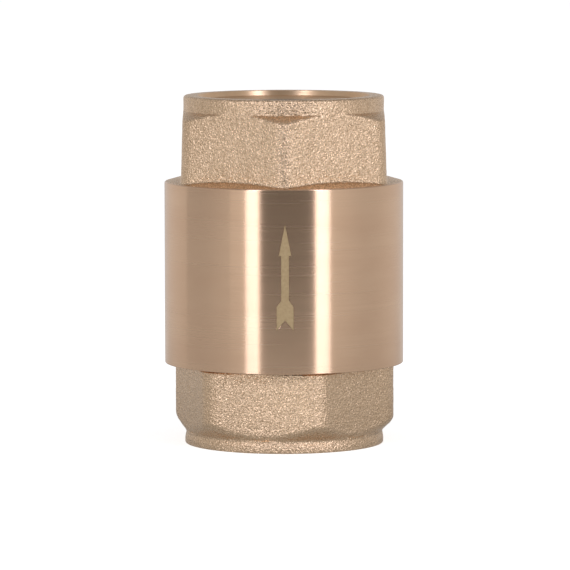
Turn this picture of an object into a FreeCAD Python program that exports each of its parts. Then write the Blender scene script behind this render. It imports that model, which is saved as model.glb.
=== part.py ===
import FreeCAD, Part
import math
import os
import re

import Sketcher

# In-line spring check valve, DN 15, two female G 1/2 ends. Millimetres, +Z up.
# The origin is the centre of the inlet rim, and the flow runs along +Z.

SHEET = "Sizes"
FULL_TURN = 360.0
HEXAGON_SIDES = 6
GUIDE_SPOKES = 3
ROOT_POINT = (-1, 1)  # the sketch's own origin, as a geometry index and a point
X_AXIS = -1  # the sketch's own horizontal axis
START, END, CENTRE = 1, 2, 3  # the points of a sketch line or arc

SIZES = [
    # outside of the outlet body, measured up from its lower edge unless it says otherwise
    ("joint_height", 11.45),  # inlet rim to the sleeve's lower edge
    ("sleeve_radius", 16.9),
    ("sleeve_length", 25.7),
    ("sleeve_edge", 0.22),
    ("sleeve_low_edge", 0.1),
    ("shoulder_rise", 0.65),
    ("shoulder_inner_radius", 14.4),
    ("outlet_flats", 28.55),
    ("outlet_turn", 30.0),  # the hexagon's angle about +Z
    ("outlet_corner_round", 2.6),
    ("outlet_hexagon_top", 35.7),
    ("outlet_collar_radius", 14.18),
    ("outlet_length", 37.85),
    ("collar_edge", 0.2),
    ("outlet_corner_slope", 30.0),
    ("corner_reach", 4.0),
    # outside of the inlet adapter, measured up from the inlet rim
    ("inlet_flats", 28.2),
    ("inlet_corner_round", 3.4),
    ("inlet_turn", 47.6),  # the hexagon's angle about +Z
    ("inlet_collar_radius", 14.07),
    ("inlet_collar_top", 0.6),
    ("inlet_neck_radius", 13.88),
    ("inlet_hexagon_start", 1.95),
    ("inlet_corner_slope", 42.0),
    ("inlet_hexagon_end", 11.45),
    # female pipe ends, G 1/2, bored to the thread's crests
    ("pipe_minor", 9.316),
    ("pipe_thread_length", 9.4),
    ("pipe_stop_depth", 11.0),
    ("relief_radius", 10.6),
    ("mouth_radius", 12.2),
    ("mouth_wall", 0.75),
    ("mouth_floor_radius", 12.05),
    ("mouth_depth", 1.1),
    ("run_out", 0.9),  # length of the cone at a thread's inner end
    # screwed joint between the two housings, M28 x 1.5, drawn at its major radius
    ("joint_major", 14.0),
    ("joint_gap", 0.04),
    ("joint_end", 6.55),  # top of the male thread, above the sleeve's lower edge
    ("joint_lead", 0.25),
    ("seal_root", 12.5),
    ("seal_section", 1.5),
    # flow passage
    ("chamber_radius", 13.0),
    ("chamber_start", 7.3),
    ("guide_recess_radius", 12.0),
    ("guide_recess_start", 21.6),
    ("guide_stop", 24.15),
    ("web_radius", 9.4),
    ("throat_radius", 7.5),
    ("nose_radius", 13.0),
    ("nose_top", 18.6),
    ("seat_top", 19.3),
    ("seat_edge", 0.2),
    ("seat_outer_radius", 8.7),
    ("lower_recess_radius", 8.9),
    ("lower_recess_top", 14.3),
    ("ring_groove_radius", 9.45),
    ("ring_groove_low", 11.75),
    ("ring_groove_high", 12.65),
    # spider guides
    ("stem_radius", 2.5),
    ("running_gap", 0.05),
    ("upper_guide_height", 34.0),
    ("upper_guide_radius", 11.95),
    ("upper_rim", 1.6),
    ("upper_window_outer", 10.2),
    ("upper_flange_radius", 6.5),
    ("upper_hub_radius", 4.0),
    ("upper_hub_low", -3.1),
    ("upper_hub_high", 3.0),
    ("lower_guide_height", 12.7),
    ("lower_guide_radius", 8.85),
    ("lower_rim", 1.6),
    ("lower_window_outer", 7.4),
    ("lower_flange_radius", 3.3),
    ("lower_hub_radius", 2.9),
    ("lower_hub_low", -0.9),
    ("lower_hub_high", 2.5),
    ("tail_radius", 1.7),
    ("window_start", 12.0),
    ("window_end", 108.0),
    # snap ring under the lower guide
    ("snap_ring_height", 11.8),
    ("snap_ring_thickness", 0.8),
    ("snap_ring_outer", 9.35),
    ("snap_ring_inner", 8.0),
    ("snap_ring_sweep", 325.0),
    # moving closure
    ("gasket_radius", 9.6),
    ("gasket_thickness", 1.8),
    ("gasket_bore", 2.6),
    ("disc_radius", 10.3),
    ("disc_recess_radius", 9.65),
    ("disc_height", 21.1),
    ("disc_lip", 1.0),
    ("disc_thickness", 1.4),
    ("disc_edge", 0.3),
    ("disc_spigot_radius", 5.0),
    ("disc_spigot_height", 2.1),
    ("disc_boss_radius", 3.6),
    ("disc_boss_foot", 0.5),
    ("disc_boss_height", 5.2),
    ("clamp_radius", 2.0),  # the stem's threaded middle
    ("clamp_gap", 0.04),
    ("stem_foot", 9.0),
    ("tail_top", 6.9),
    ("stem_shoulder", 17.3),
    ("stem_length", 29.6),
    ("stem_edge", 0.4),
    ("retainer_radius", 6.6),
    ("retainer_thickness", 1.2),
    ("nut_height", 15.9),
    ("nut_flats", 7.0),
    ("nut_thickness", 2.2),
    ("nut_corner_slope", 30.0),
    # closing spring
    ("spring_radius", 5.55),
    ("spring_wire", 0.35),
    ("spring_low", 22.5),
    ("spring_high", 34.0),
    ("spring_turns", 7.0),
    # etched flow arrow, measured down from the sleeve's upper edge
    ("arrow_depth", 0.1),
    ("arrow_offset", 0.15),
    ("arrow_tip", 4.75),
    ("arrow_head_base", 9.22),
    ("arrow_head_half", 0.89),
    ("arrow_shaft_half", 0.55),
    ("arrow_shaft_end", 15.43),
    ("arrow_tail_half", 1.19),
    ("arrow_tail_full", 16.3),
    ("arrow_notch", 18.15),
    ("arrow_end", 19.65),
    # how far an outline that cuts runs past the surface it cuts through
    ("past", 1.0),
]

SPARE_CELL = "D1"  # where the sheet works out an expression
FUNCTIONS = ("cos", "tan")
UPRIGHT = 0.99  # least rise of an edge's direction that counts as upright


def make_sheet(doc):
    """The driving dimensions, one named cell each."""
    sheet = doc.addObject("Spreadsheet::Sheet", SHEET)
    for row, (name, value) in enumerate(SIZES, start=1):
        sheet.set(f"A{row}", name)
        sheet.set(f"B{row}", str(value))
        sheet.setAlias(f"B{row}", name)
    doc.recompute()
    return sheet


def cells(text):
    """An expression with every cell's alias written out with its sheet's name."""

    def written_out(word):
        return word[0] if word[0] in FUNCTIONS else f"{SHEET}.{word[0]}"

    return re.sub(r"[a-z][a-z_]*", written_out, text)


def value(doc, text):
    """The number that an expression of the sheet's cells comes to."""
    sheet = doc.getObject(SHEET)
    sheet.set(SPARE_CELL, f"={text}")
    sheet.recompute()
    return float(sheet.get(SPARE_CELL))


def bind(thing, prop, text):
    """Ties a property to an expression of the sheet's cells."""
    thing.setExpression(prop, cells(text))


# --- sketches and features -------------------------------------------------------------


def new_body(doc, label, height="0"):
    """An empty body that stands at a height above the inlet rim."""
    body = doc.addObject("PartDesign::Body", label)
    body.Label = label
    bind(body, "Placement.Base.z", height)
    return body


def new_sketch(body, name, role="XZ_Plane"):
    """A sketch on one of the body's own origin planes."""
    sketch = body.newObject("Sketcher::SketchObject", f"{body.Label}_{name}")
    plane = next(f for f in body.Origin.OriginFeatures if f.Role == role)
    sketch.AttachmentSupport = (plane, [""])
    sketch.MapMode = "FlatFace"
    return sketch


def place_point(sketch, geometry, kind, text):
    """Fixes a line's start point along one sketch axis by an expression."""
    size = value(sketch.Document, text)
    point = (geometry, START)
    ends = ROOT_POINT + point if size >= 0 else point + ROOT_POINT
    index = sketch.addConstraint(Sketcher.Constraint(kind, *ends, abs(size)))
    bind(sketch, f"Constraints[{index}]", text if size >= 0 else f"-({text})")


def outline(body, name, points):
    """A closed upright outline whose corners are pairs of expressions."""
    sketch = new_sketch(body, name)
    doc = body.Document
    corners = [FreeCAD.Vector(value(doc, x), value(doc, y), 0) for x, y in points]
    for here, after in zip(corners, corners[1:] + corners[:1]):
        sketch.addGeometry(Part.LineSegment(here, after), False)
    count = len(points)
    for k in range(count):
        sketch.addConstraint(Sketcher.Constraint("Coincident", k, END, (k + 1) % count, START))
    for k, (x, y) in enumerate(points):
        place_point(sketch, k, "DistanceX", x)
        place_point(sketch, k, "DistanceY", y)
    return sketch


def turned(body, name, points, kind="Revolution", sweep=str(FULL_TURN)):
    """Turns an outline about the body's axis, to add metal or to cut it away."""
    sketch = outline(body, name, points)
    feature = body.newObject(f"PartDesign::{kind}", f"{body.Label}_{name}_{kind.lower()}")
    feature.Profile = sketch
    feature.ReferenceAxis = (sketch, ["V_Axis"])
    bind(feature, "Angle", sweep)
    return feature


def hexagon(body, flats, low, high, turn="0"):
    """A hexagonal bar, turned about the body's axis."""
    bar = body.newObject("PartDesign::AdditivePrism", f"{body.Label}_hexagon")
    bar.Polygon = HEXAGON_SIDES
    bind(bar, "Circumradius", f"({flats}) / 2 / cos({FULL_TURN / 2 / HEXAGON_SIDES})")
    bind(bar, "Height", f"({high}) - ({low})")
    bind(bar, "Placement.Base.z", low)
    bind(bar, "Placement.Rotation.Angle", turn)
    return bar


def round_edges(body, bar, radius):
    """Rounds the bar's upright edges."""
    body.Document.recompute()
    names = [
        f"Edge{number}"
        for number, edge in enumerate(bar.Shape.Edges, start=1)
        if abs(edge.tangentAt(edge.FirstParameter).z) > UPRIGHT
    ]
    fillet = body.newObject("PartDesign::Fillet", f"{body.Label}_corner_rounds")
    fillet.Base = (bar, names)
    bind(fillet, "Radius", radius)


def windows(body, inner, outer, low, high):
    """Equal windows through a guide's disc, which leave its spokes."""
    sketch = new_sketch(body, "window", "XY_Plane")
    doc = body.Document
    angles = [math.radians(value(doc, text)) for text in ("window_start", "window_end")]
    up = FreeCAD.Vector(0, 0, 1)
    for radius in (inner, outer):
        circle = Part.Circle(FreeCAD.Vector(), up, value(doc, radius))
        arc = sketch.addGeometry(Part.ArcOfCircle(circle, *angles), False)
        sketch.addConstraint(Sketcher.Constraint("Coincident", arc, CENTRE, *ROOT_POINT))
        index = sketch.addConstraint(Sketcher.Constraint("Radius", arc, value(doc, radius)))
        bind(sketch, f"Constraints[{index}]", radius)
    for point, angle, text in zip((START, END), angles, ("window_start", "window_end")):
        along = FreeCAD.Vector(math.cos(angle), math.sin(angle), 0)
        side = sketch.addGeometry(
            Part.LineSegment(along * value(doc, inner), along * value(doc, outer)), False
        )
        sketch.addConstraint(Sketcher.Constraint("Coincident", side, START, 0, point))
        sketch.addConstraint(Sketcher.Constraint("Coincident", side, END, 1, point))
        sketch.addConstraint(Sketcher.Constraint("PointOnObject", *ROOT_POINT, side))
        index = sketch.addConstraint(Sketcher.Constraint("Angle", side, angle))
        bind(sketch, f"Constraints[{index}]", text)
    pocket = body.newObject("PartDesign::Pocket", f"{body.Label}_window_cut")
    pocket.Profile = sketch
    pocket.Midplane = True
    bind(pocket, "Length", f"2 * (({high}) - ({low}))")
    pattern = body.newObject("PartDesign::PolarPattern", f"{body.Label}_windows")
    pattern.Originals = [pocket]
    pattern.Axis = (sketch, ["N_Axis"])
    pattern.Angle = FULL_TURN
    pattern.Occurrences = GUIDE_SPOKES
    body.Tip = pattern


# --- housings --------------------------------------------------------------------------


def flow_arrow(body):
    """The shallow etched arrow on the sleeve's front, pointing along the flow."""
    half = [
        ("0", "arrow_tip"),
        ("arrow_head_half", "arrow_head_base"),
        ("arrow_shaft_half", "arrow_head_base"),
        ("arrow_shaft_half", "arrow_shaft_end"),
        ("arrow_tail_half", "arrow_tail_full"),
        ("arrow_tail_half", "arrow_end"),
        ("0", "arrow_notch"),
    ]
    other_half = [(f"-{x}", z) for x, z in half[-2:0:-1]]
    points = [(f"arrow_offset + {x}", f"sleeve_length - {z}") for x, z in half]
    points += [(f"arrow_offset {x}", f"sleeve_length - {z}") for x, z in other_half]
    sketch = outline(body, "arrow", points)
    bind(sketch, "AttachmentOffset.Base.z", "sleeve_radius - arrow_depth")
    pocket = body.newObject("PartDesign::Pocket", f"{body.Label}_arrow_cut")
    pocket.Profile = sketch
    pocket.Reversed = True
    bind(pocket, "Length", "past")


def outlet_body(doc):
    """Turned sleeve, hexagon and collar in one piece, with the outlet thread inside."""
    body = new_body(doc, "outlet_body", "joint_height")
    bar = hexagon(body, "outlet_flats", "guide_stop", "outlet_hexagon_top", "outlet_turn")
    round_edges(body, bar, "outlet_corner_round")
    turned(
        body,
        "corner_chamfer",
        [
            ("outlet_collar_radius", "outlet_hexagon_top"),
            (
                "outlet_collar_radius + corner_reach",
                "outlet_hexagon_top - corner_reach * tan(outlet_corner_slope)",
            ),
            ("outlet_collar_radius + corner_reach", "outlet_hexagon_top + past"),
            ("outlet_collar_radius", "outlet_hexagon_top + past"),
        ],
        "Groove",
    )
    turned(
        body,
        "outside",
        [
            ("0", "0"),
            ("sleeve_radius - sleeve_low_edge", "0"),
            ("sleeve_radius", "sleeve_low_edge"),
            ("sleeve_radius", "sleeve_length - sleeve_edge"),
            ("sleeve_radius - sleeve_edge", "sleeve_length"),
            ("shoulder_inner_radius", "sleeve_length + shoulder_rise"),
            ("outlet_collar_radius - past", "sleeve_length + shoulder_rise"),
            ("outlet_collar_radius - past", "outlet_hexagon_top - past"),
            ("outlet_collar_radius", "outlet_hexagon_top - past"),
            ("outlet_collar_radius", "outlet_length - collar_edge"),
            ("outlet_collar_radius - collar_edge", "outlet_length"),
            ("0", "outlet_length"),
        ],
    )
    turned(
        body,
        "passage",
        [
            ("0", "-past"),
            ("joint_major + joint_lead", "-past"),
            ("joint_major + joint_lead", "0"),
            ("joint_major", "joint_lead"),
            ("joint_major", "chamber_start"),
            ("chamber_radius", "chamber_start"),
            ("chamber_radius", "guide_recess_start"),
            ("guide_recess_radius", "guide_recess_start"),
            ("guide_recess_radius", "guide_stop"),
            ("web_radius", "guide_stop"),
            ("web_radius", "outlet_length - pipe_stop_depth"),
            ("relief_radius", "outlet_length - pipe_stop_depth"),
            ("relief_radius", "outlet_length - pipe_thread_length"),
            ("pipe_minor", "outlet_length - pipe_thread_length + run_out"),
            ("pipe_minor", "outlet_length - mouth_depth"),
            ("mouth_floor_radius", "outlet_length - mouth_wall"),
            ("mouth_radius", "outlet_length"),
            ("mouth_radius", "outlet_length + past"),
            ("0", "outlet_length + past"),
        ],
        "Groove",
    )
    flow_arrow(body)
    return body


def inlet_adapter(doc):
    """Lower hexagon and collar, the inlet thread, the screwed-in nose and the raised seat."""
    body = new_body(doc, "inlet_adapter")
    bar = hexagon(body, "inlet_flats", "inlet_hexagon_start", "inlet_hexagon_end", "inlet_turn")
    round_edges(body, bar, "inlet_corner_round")
    turned(
        body,
        "corner_chamfer",
        [
            ("inlet_neck_radius", "inlet_hexagon_start - past"),
            ("inlet_neck_radius + corner_reach", "inlet_hexagon_start - past"),
            (
                "inlet_neck_radius + corner_reach",
                "inlet_hexagon_start + corner_reach * tan(inlet_corner_slope)",
            ),
            ("inlet_neck_radius", "inlet_hexagon_start"),
        ],
        "Groove",
    )
    top = "joint_height"
    turned(
        body,
        "outside",
        [
            ("0", "0"),
            ("inlet_collar_radius - collar_edge", "0"),
            ("inlet_collar_radius", "collar_edge"),
            ("inlet_collar_radius", "inlet_collar_top"),
            ("inlet_neck_radius", "inlet_hexagon_start"),
            ("seal_root", "inlet_hexagon_start + past"),
            ("seal_root", f"{top} + seal_section"),
            ("joint_major - joint_gap", f"{top} + seal_section"),
            ("joint_major - joint_gap", f"{top} + joint_end - run_out"),
            ("nose_radius", f"{top} + joint_end"),
            ("nose_radius", "nose_top"),
            ("seat_outer_radius + seat_edge", "nose_top"),
            ("seat_outer_radius", "seat_top - seat_edge"),
            ("seat_outer_radius - seat_edge", "seat_top"),
            ("0", "seat_top"),
        ],
    )
    turned(
        body,
        "passage",
        [
            ("0", "-past"),
            ("mouth_radius", "-past"),
            ("mouth_radius", "0"),
            ("mouth_floor_radius", "mouth_wall"),
            ("pipe_minor", "mouth_depth"),
            ("pipe_minor", "pipe_thread_length - run_out"),
            ("relief_radius", "pipe_thread_length"),
            ("relief_radius", "pipe_stop_depth"),
            ("lower_recess_radius", "pipe_stop_depth"),
            ("lower_recess_radius", "ring_groove_low"),
            ("ring_groove_radius", "ring_groove_low"),
            ("ring_groove_radius", "ring_groove_high"),
            ("lower_recess_radius", "ring_groove_high"),
            ("lower_recess_radius", "lower_recess_top"),
            ("throat_radius", "lower_recess_top"),
            ("throat_radius", "seat_top - seat_edge"),
            ("throat_radius + seat_edge", "seat_top"),
            ("throat_radius + seat_edge", "seat_top + past"),
            ("0", "seat_top + past"),
        ],
        "Groove",
    )
    return body


def body_seal_ring(doc):
    """The rubber ring in the groove under the male thread."""
    ring = doc.addObject("Part::Torus", "body_seal_ring")
    ring.Label = "body_seal_ring"
    bind(ring, "Radius1", "(seal_root + joint_major) / 2")
    bind(ring, "Radius2", "(joint_major - seal_root) / 2")
    bind(ring, "Placement.Base.z", "joint_height + seal_section / 2")
    return ring


# --- guides ----------------------------------------------------------------------------


def spider_guide(doc, side, bore):
    """A moulded spider: a rim, three spokes and a hub that the stem slides in."""
    body = new_body(doc, f"{side}_stem_guide", f"{side}_guide_height")
    hub_bore = f"{bore} + running_gap"
    turned(
        body,
        "blank",
        [
            (hub_bore, f"{side}_hub_low"),
            (f"{side}_hub_radius", f"{side}_hub_low"),
            (f"{side}_hub_radius", "0"),
            (f"{side}_guide_radius", "0"),
            (f"{side}_guide_radius", f"{side}_rim"),
            (f"{side}_hub_radius", f"{side}_rim"),
            (f"{side}_hub_radius", f"{side}_hub_high"),
            (hub_bore, f"{side}_hub_high"),
        ],
    )
    windows(body, f"{side}_flange_radius", f"{side}_window_outer", "0", f"{side}_rim")
    return body


def guide_snap_ring(doc):
    """The open spring-steel ring that holds the lower guide in its recess."""
    body = new_body(doc, "guide_snap_ring", "snap_ring_height")
    turned(
        body,
        "section",
        [
            ("snap_ring_inner", "0"),
            ("snap_ring_outer", "0"),
            ("snap_ring_outer", "snap_ring_thickness"),
            ("snap_ring_inner", "snap_ring_thickness"),
        ],
        sweep="snap_ring_sweep",
    )
    return body


# --- moving closure --------------------------------------------------------------------


def valve_disc(doc):
    """The brass plate, with a lip round the gasket and a boss that stops against the guide."""
    body = new_body(doc, "valve_disc", "disc_height")
    turned(
        body,
        "section",
        [
            ("clamp_radius + clamp_gap", "0"),
            ("disc_recess_radius", "0"),
            ("disc_recess_radius", "-disc_lip"),
            ("disc_radius", "-disc_lip"),
            ("disc_radius", "disc_thickness - disc_edge"),
            ("disc_radius - disc_edge", "disc_thickness"),
            ("disc_spigot_radius", "disc_thickness"),
            ("disc_spigot_radius", "disc_spigot_height"),
            ("disc_boss_radius", "disc_spigot_height + disc_boss_foot"),
            ("disc_boss_radius", "disc_boss_height"),
            ("clamp_radius + clamp_gap", "disc_boss_height"),
        ],
    )
    return body


def ring(doc, label, height, inner, outer, thickness):
    """A flat round washer."""
    body = new_body(doc, label, height)
    turned(body, "section", [(inner, "0"), (outer, "0"), (outer, thickness), (inner, thickness)])
    return body


def valve_stem(doc):
    """The turned steel stem: slim tail, threaded middle, and the thick guided top."""
    body = new_body(doc, "valve_stem", "stem_foot")
    turned(
        body,
        "section",
        [
            ("0", "0"),
            ("tail_radius - stem_edge", "0"),
            ("tail_radius", "stem_edge"),
            ("tail_radius", "tail_top"),
            ("clamp_radius", "tail_top"),
            ("clamp_radius", "stem_shoulder"),
            ("stem_radius", "stem_shoulder"),
            ("stem_radius", "stem_length - stem_edge"),
            ("stem_radius - stem_edge", "stem_length"),
            ("0", "stem_length"),
        ],
    )
    return body


def stem_nut(doc):
    """The thin hexagon nut that clamps retainer, gasket and disc to the stem's shoulder."""
    body = new_body(doc, "stem_nut", "nut_height")
    hexagon(body, "nut_flats", "0", "nut_thickness")
    turned(
        body,
        "bore",
        [
            ("0", "-past"),
            ("clamp_radius", "-past"),
            ("clamp_radius", "nut_thickness + past"),
            ("0", "nut_thickness + past"),
        ],
        "Groove",
    )
    turned(
        body,
        "corner_chamfer",
        [
            ("nut_flats / 2", "0"),
            ("nut_flats / 2", "-past"),
            ("nut_flats", "-past"),
            ("nut_flats", "nut_flats / 2 * tan(nut_corner_slope)"),
        ],
        "Groove",
    )
    return body


def closing_spring(doc):
    """The coil between the guide's flange and the disc, drawn with the valve shut."""
    body = new_body(doc, "closing_spring", "spring_low + spring_wire")
    sketch = new_sketch(body, "wire")
    middle = FreeCAD.Vector(value(doc, "spring_radius"), 0, 0)
    wire = value(doc, "spring_wire")
    sketch.addGeometry(Part.Circle(middle, FreeCAD.Vector(0, 0, 1), wire), False)
    sketch.addConstraint(Sketcher.Constraint("PointOnObject", 0, CENTRE, X_AXIS))
    across = Sketcher.Constraint("DistanceX", *ROOT_POINT, 0, CENTRE, middle.x)
    bind(sketch, f"Constraints[{sketch.addConstraint(across)}]", "spring_radius")
    size = Sketcher.Constraint("Radius", 0, wire)
    bind(sketch, f"Constraints[{sketch.addConstraint(size)}]", "spring_wire")
    coil = body.newObject("PartDesign::AdditiveHelix", "closing_spring_coil")
    coil.Profile = sketch
    coil.ReferenceAxis = (sketch, ["V_Axis"])
    coil.Mode = "height-turns-growth"
    bind(coil, "Height", "spring_high - spring_low - 2 * spring_wire")
    bind(coil, "Turns", "spring_turns")
    return body


# --- assembly --------------------------------------------------------------------------


def build(doc):
    """Every sub-part, each a solid of its own."""
    return [
        outlet_body(doc),
        inlet_adapter(doc),
        body_seal_ring(doc),
        spider_guide(doc, "upper", "stem_radius"),
        spider_guide(doc, "lower", "tail_radius"),
        guide_snap_ring(doc),
        valve_disc(doc),
        ring(
            doc,
            "disc_gasket",
            "disc_height - gasket_thickness",
            "gasket_bore",
            "gasket_radius",
            "gasket_thickness",
        ),
        ring(
            doc,
            "gasket_retainer",
            "disc_height - gasket_thickness - retainer_thickness",
            "clamp_radius + clamp_gap",
            "retainer_radius",
            "retainer_thickness",
        ),
        valve_stem(doc),
        stem_nut(doc),
        closing_spring(doc),
    ]


def check(doc, parts):
    """Stops if any object failed or any sub-part isn't one sound solid."""
    failed = [o.Name for o in doc.Objects if {"Invalid", "Error"} & set(o.State)]
    if failed:
        raise RuntimeError(f"failed objects: {failed}")
    for part in parts:
        shape = part.Shape
        if shape.isNull() or not shape.isValid() or len(shape.Solids) != 1:
            raise RuntimeError(f"{part.Label} is not one sound solid")
        print(f"{part.Label:18s} {shape.Volume:10.2f} mm3 {len(shape.Faces):4d} faces")


def export(parts):
    """One STEP file for each sub-part."""
    os.makedirs("parts", exist_ok=True)
    for part in parts:
        part.Shape.exportStep(f"parts/{part.Label}.step")


def main():
    doc = FreeCAD.newDocument("check_valve")
    make_sheet(doc)
    parts = build(doc)
    doc.getObject(SHEET).clear(SPARE_CELL)
    doc.recompute()
    check(doc, parts)
    export(parts)


main()
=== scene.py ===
"""The looks of an in-line spring check valve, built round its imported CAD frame.

Shapes are worked out in millimetres and written into their meshes in metres.
"""

import math

import bmesh
import bpy
import numpy as np
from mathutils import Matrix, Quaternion, Vector, noise
from mathutils.geometry import delaunay_2d_cdt


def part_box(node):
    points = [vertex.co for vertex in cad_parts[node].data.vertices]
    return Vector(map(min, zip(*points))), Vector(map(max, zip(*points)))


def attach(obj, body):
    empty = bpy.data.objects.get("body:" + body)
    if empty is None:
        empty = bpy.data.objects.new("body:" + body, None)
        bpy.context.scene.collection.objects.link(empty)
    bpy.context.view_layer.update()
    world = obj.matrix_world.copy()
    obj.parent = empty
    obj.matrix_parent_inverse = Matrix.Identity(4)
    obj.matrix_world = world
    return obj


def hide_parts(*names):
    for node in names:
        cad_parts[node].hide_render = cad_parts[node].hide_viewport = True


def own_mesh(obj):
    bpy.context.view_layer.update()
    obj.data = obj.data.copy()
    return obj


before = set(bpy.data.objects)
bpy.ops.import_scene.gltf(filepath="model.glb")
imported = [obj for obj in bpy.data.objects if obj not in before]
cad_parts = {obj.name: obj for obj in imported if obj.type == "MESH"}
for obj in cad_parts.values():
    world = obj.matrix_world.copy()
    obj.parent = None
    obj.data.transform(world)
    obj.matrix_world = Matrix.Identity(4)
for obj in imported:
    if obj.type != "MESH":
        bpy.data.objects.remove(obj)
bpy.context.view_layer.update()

MM = 0.001
TURN = 2 * math.pi
HOUSING = "housing"
CLOSURE = "closure"


def reach(node):
    """A CAD node's lowest and highest points and its reach along +X, in millimetres."""
    low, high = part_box(node)
    return low.z / MM, high.z / MM, high.x / MM


# --- sizes, in millimetres ---------------------------------------------------------------

SLEEVE_LOW, OUTLET_TOP, SLEEVE_RADIUS = reach("outlet_body")
SEAT_TOP = reach("inlet_adapter")[1]
SLEEVE_TOP = SLEEVE_LOW + 25.7
EDGE = 0.22  # rounding of the sleeve's upper edge
LOW_EDGE = 0.1  # and of its lower edge

OUTLET_FLATS = 28.3  # across the flats at the hexagon's top, where the draft ends
OUTLET_DRAFT = math.radians(1.6)  # the casting's draft, which widens the hexagon downwards
OUTLET_TURN = math.radians(30)
OUTLET_ROUND = 2.6  # rounding of the hexagon's upright corners
OUTLET_HEXAGON_TOP = OUTLET_TOP - 2.15
OUTLET_COLLAR = 14.18
OUTLET_COLLAR_EDGE = 0.4
OUTLET_CHAMFER = math.radians(30)  # slope of the hexagon's corners towards the collar
OUTLET_BLEND = 0.08  # how softly the corners meet the collar
OUTLET_CORNER_BLEND = 0.4  # and how much softer the slope meets the corners below it
OUTLET_SLOPE_LOW = OUTLET_HEXAGON_TOP - 1.3  # where the sloped stretch starts: rings lie close
OUTLET_SLOPE_HIGH = OUTLET_HEXAGON_TOP + 0.15
SHOULDER_RISE = 0.65
SHOULDER_INNER = 14.4
SHOULDER_FILLET = 0.4
SHOULDER_SKIN = 0.7  # the share that it has of the casting's swells
SHOULDER_RINGS = 9
FILLET_RINGS = 6

INLET_FLATS = 28.2
INLET_TURN = math.radians(47.6)
INLET_ROUND = 3.4
INLET_COLLAR = 14.07
INLET_COLLAR_TOP = 0.6
INLET_COLLAR_EDGE = 0.15
INLET_FACE_INSET = 0.4  # from the collar in to the last ring of the machined mouth
INLET_NECK = 13.88
INLET_HEXAGON_LOW = 1.8
INLET_CHAMFER = math.radians(42)
INLET_NECK_BLEND = 0.4  # how softly the hexagon's swell starts on the neck
INLET_CORNER_BLEND = 0.75  # and how softly it ends on the hexagon's sides
INLET_SKIN_LOW = 0.4
INLET_SLOPE_HIGH = 4.2  # the top of the sloped stretch, where rings lie close
INLET_SKIN_HIGH = SLEEVE_LOW - 0.36
INLET_UNDERCUT = ((0.08, 0.28), (0.5, 0.1), (0.55, 0))  # inward from the sides, and below the top

# pipe ends, G 1/2: radii, depths below the rim, and the half-widths of the thread's groove
PIPE_PITCH = 1.814
PIPE_CREST = 9.316
PIPE_ROOT = 10.478
PIPE_GROOVE = (0.756, 0.151)
PIPE_MOUTH = 12.2
PIPE_MOUTH_WALL = 0.75
PIPE_MOUTH_FLOOR = 12.05
PIPE_MOUTH_DEPTH = 1.1
PIPE_RUN_OUT = 0.9
PIPE_RELIEF = 10.6
PIPE_THREAD_DEPTH = 9.4
PIPE_STOP_DEPTH = 11.0
PIPE_BORE_START = PIPE_MOUTH_DEPTH + 0.05
PIPE_BORE_END = PIPE_STOP_DEPTH - 0.2

# the housings' own screwed joint, M28 x 1.5, and the seal below it
JOINT_PITCH = 1.5
JOINT_MAJOR = 14.0
JOINT_FEMALE_MINOR = 13.188
JOINT_MALE_MINOR = 13.08
JOINT_GAP = 0.04
JOINT_FEMALE_GROOVE = (0.656, 0.125)
JOINT_MALE_GROOVE = (0.563, 0.094)
JOINT_EDGE = 0.25  # chamfer at the sleeve's foot
JOINT_FEMALE_LOW = SLEEVE_LOW + 1.6  # below it a plain stretch holds the seal ring
JOINT_FEMALE_LEAD = 0.8
JOINT_MALE_LOW = SLEEVE_LOW + 1.5  # the top of the seal's groove
JOINT_MALE_FULL = SLEEVE_LOW + 2.0  # the height from which its crests are full
JOINT_MALE_START = 0.5  # and how far inside the crests it starts
JOINT_MALE_TOP = SLEEVE_LOW + 6.5
JOINT_MALE_END = SLEEVE_LOW + 6.55
JOINT_MALE_LEAD = 0.9
SEAL_ROOT = 12.5
SEAL_RIM = 13.4

# the flow passage, from the outlet down to the inlet: radii, and heights above the inlet rim
WEB_RADIUS = 9.4
GUIDE_STOP = SLEEVE_LOW + 24.15
GUIDE_RECESS = 12.0
GUIDE_RECESS_LOW = SLEEVE_LOW + 21.6
CHAMBER_RADIUS = 13.0
CHAMBER_LOW = SLEEVE_LOW + 7.3
JOINT_FEMALE_TOP = CHAMBER_LOW - 0.05
NOSE_RADIUS = 13.0
NOSE_LOW = JOINT_MALE_TOP + 0.1
NOSE_TOP = SEAT_TOP - 0.7
SEAT_FOOT = 8.9  # the seat ring's outer radius at its foot
SEAT_OUTER = 8.7  # and at its top
THROAT_RADIUS = 7.5
LOWER_RECESS = 8.9
LOWER_RECESS_TOP = 14.3
RING_GROOVE = 9.45
RING_GROOVE_HIGH = 12.65
RING_GROOVE_LOW = 11.75

# roundings of machined edges
STOP_ROUND = 0.2
BORE_ROUND = 0.15
FLOOR_ROUND = 0.12
SEAL_ROUND = 0.1
GROOVE_ROUND = 0.06
MOUTH_ROUND = 0.05

AROUND = 360  # points round a housing
AROUND_SMALL = 144  # points round an inner piece
THREAD_STEP = 0.135  # height from ring to ring on a thread
SKIN_STEP = 0.25  # and on a hexagon
SLOPE_STEP = 0.1  # and where its corners slope


# --- rings and skins ---------------------------------------------------------------------


def angles(around):
    """The angle of each point round a ring."""
    return np.arange(around) * TURN / around


def ring(radius, height, around=AROUND):
    """Points round the axis; radius and height are numbers, or one value for each point."""
    turn = angles(around)
    flat = np.ones(around)
    return np.column_stack((radius * np.cos(turn), radius * np.sin(turn), height * flat))


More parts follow.
